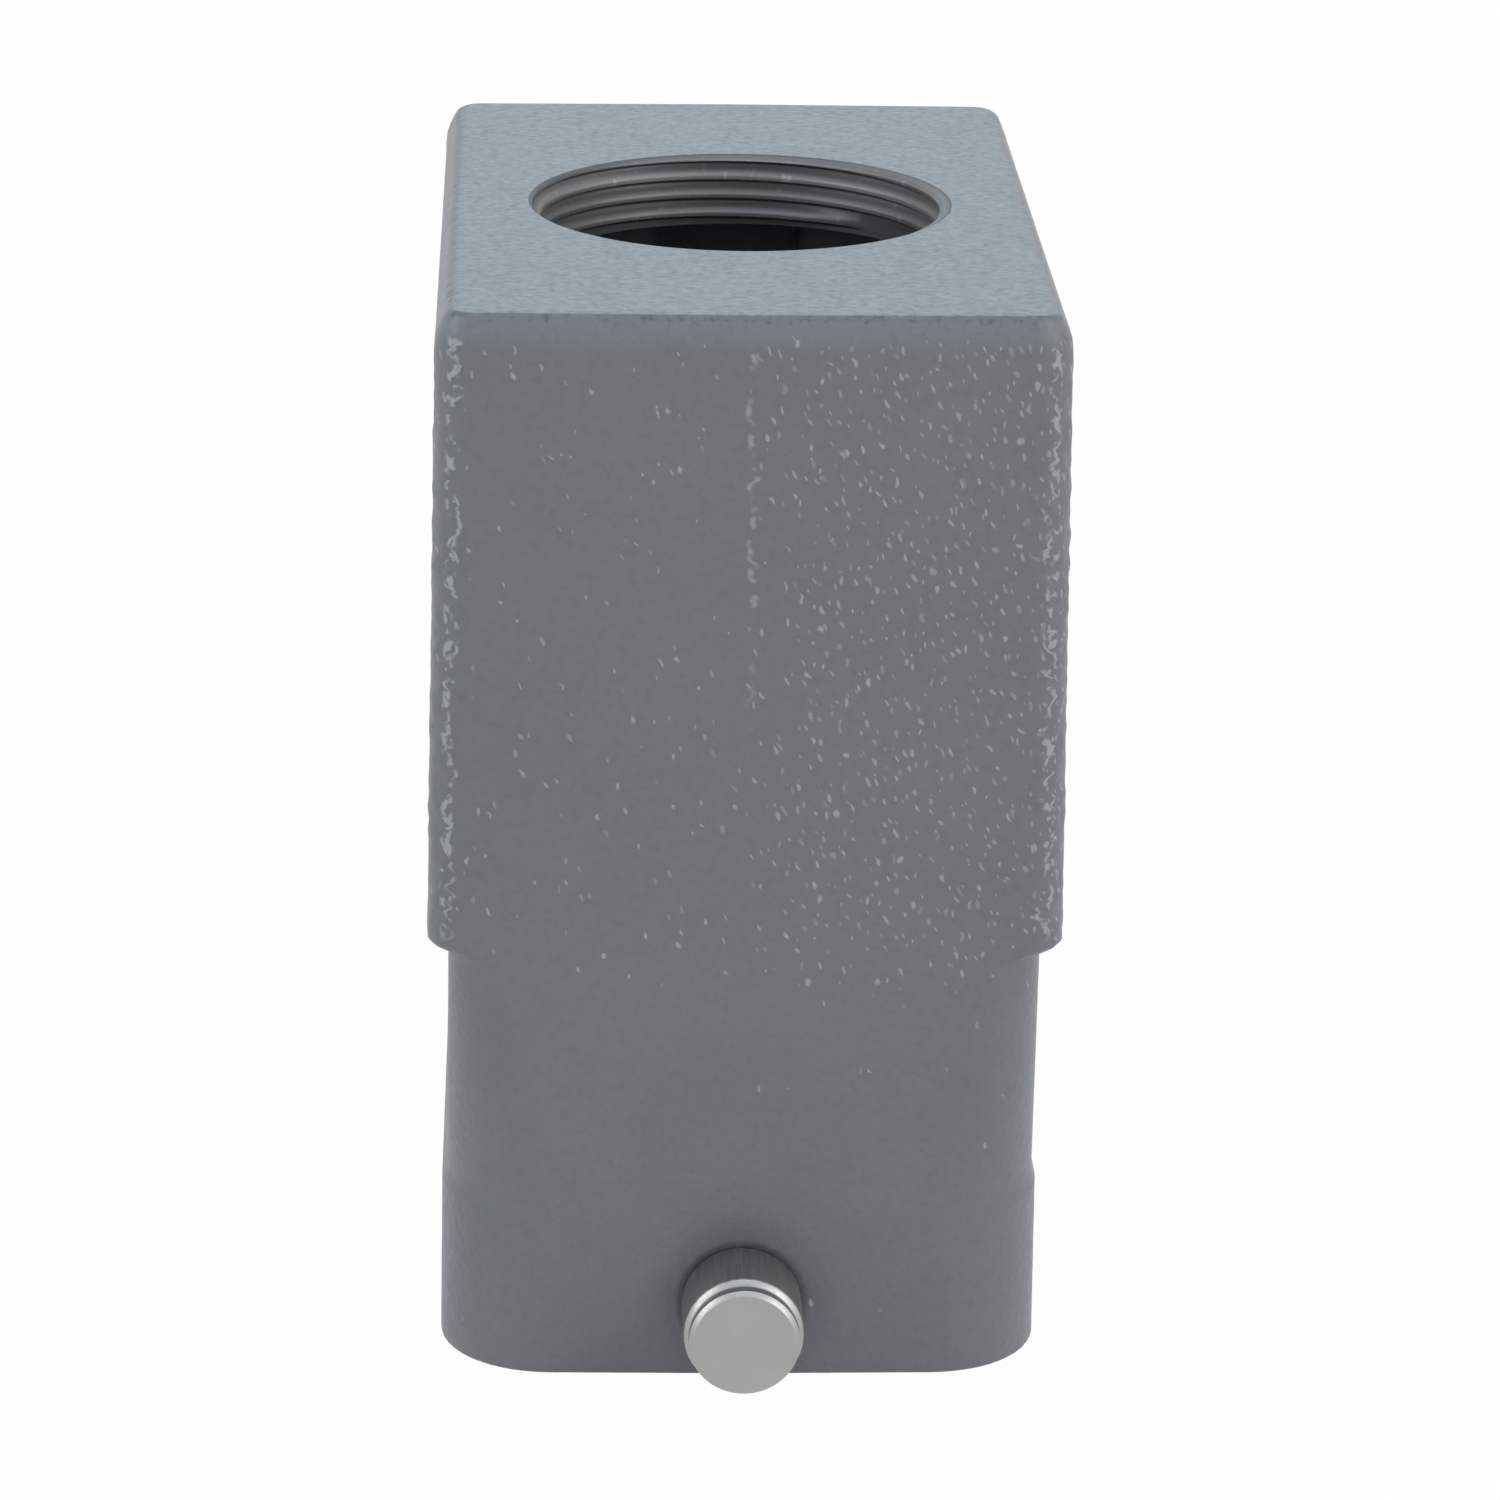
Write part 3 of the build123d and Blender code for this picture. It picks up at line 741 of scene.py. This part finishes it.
# Painted light and shade on the thread, from 0 for the root colour to 1 for the crest colour: of the
# roots, of the lower crests, of the upper crest, which comes in between two depths, and of the
# countersink. A ridge is brightest low down, and the part above RING_DEPTH is dimmer.
ROOT_SHINE = 0.14
LOW_SHINE = 0.27
UPPER_SHINE = 0.55
UPPER_DEPTHS = (2.6, 1.9)
RING_SHINE = 0.05
RING_DEPTH = 0.75
RING_DIM = 0.7
FLANK_SHINE = 0.3
FLANK_START = 0.1
FLANK_RUN = 0.8


def smooth(value, start, end):
    """Runs smoothly from 0 to 1 as the value goes from start to end."""
    share = np.clip((value - start) / (end - start), 0.0, 1.0)
    return share * share * (3 - 2 * share)


def ridge(share):
    """A worn ridge's height, from 0 to 1, at shares of the pitch: its crest is below its middle."""
    return np.minimum(smooth(share % 1.0, *THREAD_UPPER), smooth(share % 1.0, *THREAD_LOWER))


def build_entry_thread():
    """The threaded sleeve of bare metal in the cable entry, with its countersink."""
    levels = np.linspace(THREAD_BOTTOM, HEIGHT - ENTRY_CHAMFER, THREAD_STEPS_UP)
    angles = np.linspace(0, 2 * pi, THREAD_STEPS_ROUND, endpoint=False)
    circle_shares = angles / (2 * pi)
    rows, painted_lights = [], []
    for level in levels:
        turns = (level - THREAD_START) / THREAD_PITCH - circle_shares
        past_start = np.floor(turns) + circle_shares - THREAD_FIRST
        height = np.clip(past_start / THREAD_FADE, 0.0, 1.0) * ridge(turns)
        rows.append((ENTRY_RADIUS - SLEEVE_LIFT - THREAD_DEPTH * height, level))
        # Painted light and shade: crests brighter near the top of the bore, flanks brighter towards
        # the crest, roots dark
        upper_share = smooth(level, *(HEIGHT - depth for depth in UPPER_DEPTHS))
        crest = LOW_SHINE + (UPPER_SHINE - LOW_SHINE) * upper_share
        down_band = 1 - np.clip((turns % 1.0 - FLANK_START) / FLANK_RUN, 0.0, 1.0)
        flank = FLANK_SHINE + (1 - FLANK_SHINE) * down_band
        painted_light = ROOT_SHINE + (crest - ROOT_SHINE) * flank * height
        painted_lights.append(painted_light * (RING_DIM if level > HEIGHT - RING_DEPTH else 1.0))
    full = np.full(THREAD_STEPS_ROUND, ENTRY_RADIUS)
    rows.append((full + ENTRY_CHAMFER - SLEEVE_LIFT, HEIGHT + COAT_LIFT / 2))
    rows.append((full + ENTRY_CHAMFER + SLEEVE_BACK, HEIGHT - SLEEVE_DEPTH))
    rows.append((full + SLEEVE_BACK, THREAD_BOTTOM))
    painted_lights += [np.full(THREAD_STEPS_ROUND, RING_SHINE)] * 3
    points = np.concatenate([
        np.column_stack([radii * np.cos(angles), radii * np.sin(angles), np.full(len(angles), level)])
        for radii, level in rows
    ])
    faces = [face[::-1] for face in band_faces(len(rows), len(angles), closed_rows=True)]
    piece = add_piece("entry_thread", points, faces, machined)
    mark_points(piece.data, PAINTED_LIGHT_MARK, painted_lights)


build_entry_thread()

# Floor, world and lamps. The floor's size is in metres, and its gap below the rim in millimetres.
FLOOR_SIZE = 6.0
FLOOR_GAP = 0.05
FLOOR_COLOR = (0.96, 0.96, 0.96, 1)
FLOOR_ROUGHNESS = 0.9
FLOOR_GLOW = 0.97
AMBIENT = 0.50
AMBIENT_COLOR = (0.98, 0.99, 1.0, 1)


def seen_directly(tree):
    """1 for camera, glossy and transmission rays, and 0 for the rays that light things."""
    path = tree.nodes.new("ShaderNodeLightPath")
    seen = path.outputs["Is Camera Ray"]
    for kind in ("Is Glossy Ray", "Is Transmission Ray"):
        either = tree.nodes.new("ShaderNodeMath")
        either.operation = "MAXIMUM"
        tree.links.new(seen, either.inputs[0])
        tree.links.new(path.outputs[kind], either.inputs[1])
        seen = either.outputs[0]
    return seen


def build_world():
    """White where it is seen, and a plain soft level where it lights the object."""
    world = bpy.data.worlds.new("world")
    world.use_nodes = True
    tree = world.node_tree
    soft = tree.nodes["Background"]
    soft.inputs["Color"].default_value = AMBIENT_COLOR
    soft.inputs["Strength"].default_value = AMBIENT
    white = tree.nodes.new("ShaderNodeBackground")
    white.inputs["Color"].default_value = (1, 1, 1, 1)
    white.inputs["Strength"].default_value = 1.0
    mix = tree.nodes.new("ShaderNodeMixShader")
    tree.links.new(seen_directly(tree), mix.inputs[0])
    tree.links.new(soft.outputs[0], mix.inputs[1])
    tree.links.new(white.outputs[0], mix.inputs[2])
    tree.links.new(mix.outputs[0], tree.nodes["World Output"].inputs["Surface"])
    scene.world = world


def build_floor():
    """A white floor that glows where it is seen, and keeps a little of the object's shadow."""
    half = FLOOR_SIZE / 2
    level = -FLOOR_GAP * MM
    mesh = bpy.data.meshes.new("floor")
    corners = [(-half, -half, level), (half, -half, level), (half, half, level), (-half, half, level)]
    mesh.from_pydata(corners, [], [(0, 1, 2, 3)])
    floor = bpy.data.objects.new("floor", mesh)
    scene.collection.objects.link(floor)
    material = bpy.data.materials.new("floor")
    material.use_nodes = True
    tree = material.node_tree
    shader = tree.nodes["Principled BSDF"]
    shader.inputs["Base Color"].default_value = FLOOR_COLOR
    shader.inputs["Roughness"].default_value = FLOOR_ROUGHNESS
    shader.inputs["Specular IOR Level"].default_value = 0.0
    glow = tree.nodes.new("ShaderNodeEmission")
    share = tree.nodes.new("ShaderNodeMath")
    share.operation = "MULTIPLY"
    share.inputs[1].default_value = FLOOR_GLOW
    tree.links.new(seen_directly(tree), share.inputs[0])
    mix = tree.nodes.new("ShaderNodeMixShader")
    tree.links.new(share.outputs[0], mix.inputs[0])
    tree.links.new(shader.outputs[0], mix.inputs[1])
    tree.links.new(glow.outputs[0], mix.inputs[2])
    tree.links.new(mix.outputs[0], tree.nodes["Material Output"].inputs["Surface"])
    mesh.materials.append(material)


# Softboxes: name, azimuth and elevation in degrees, distance, width and height in metres, radiance
# and colour. Azimuth 0 is in front, and 90 is at the right.
AIM = Vector((0, 0, 0.04))
LAMPS = [
    ("softbox_right", 60, 26, 0.75, 0.42, 0.50, 2.8, (0.97, 0.99, 1.0)),
    ("softbox_left", -70, 26, 0.75, 0.32, 0.50, 3.1, (0.85, 0.95, 1.0)),
    ("softbox_top", 10, 84, 0.90, 0.70, 0.70, 1.15, (0.42, 0.70, 1.0)),
    ("softbox_back", 175, 30, 0.90, 0.60, 0.40, 1.3, (0.60, 0.86, 1.0)),
]


def build_lamps():
    """The softboxes, each turned towards AIM."""
    for name, azimuth, elevation, distance, width, height, radiance, color in LAMPS:
        around, up = radians(azimuth), radians(elevation)
        away = Vector((sin(around) * cos(up), -cos(around) * cos(up), sin(up)))
        data = bpy.data.lights.new(name, "AREA")
        data.shape = "RECTANGLE"
        data.size = width
        data.size_y = height
        data.energy = radiance * pi * width * height
        data.color = color
        lamp = bpy.data.objects.new(name, data)
        lamp.location = AIM + away * distance
        lamp.rotation_euler = away.to_track_quat("Z", "Y").to_euler()
        scene.collection.objects.link(lamp)


build_world()
build_floor()
build_lamps()

scene.view_settings.view_transform = "Standard"
